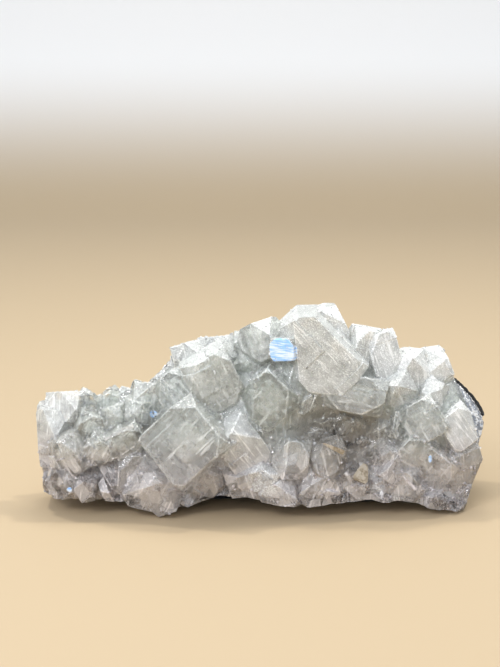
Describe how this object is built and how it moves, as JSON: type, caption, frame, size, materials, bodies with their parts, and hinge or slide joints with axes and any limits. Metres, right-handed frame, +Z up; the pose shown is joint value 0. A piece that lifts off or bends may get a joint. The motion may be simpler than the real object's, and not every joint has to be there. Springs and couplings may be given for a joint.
{
  "type": "apophyllite crystal cluster",
  "caption": "Hand specimen of blocky, milky see-through apophyllite crystals grown together on a thin chalcedony rind and black basalt, lying on a broken base.",
  "frame": {"origin": "on the surface the specimen lies on, under the middle of its bounding box", "axes": "+X along the specimen's length to the end with bare rind, -Y out of the crystal face, +Z up"},
  "size_m": [0.1524, 0.0696, 0.0684],
  "materials": {
    "basalt": "broken, fine grained, matt black",
    "chalcedony": "granular, waxy, bluish white",
    "apophyllite": "glassy to pearly faces, milky and faintly green inside, striated"
  },
  "bodies": {
    "root": {"basalt_matrix": "basalt", "chalcedony_rind": "chalcedony", "apophyllite_crust": "apophyllite"}
  },
  "joints": []
}
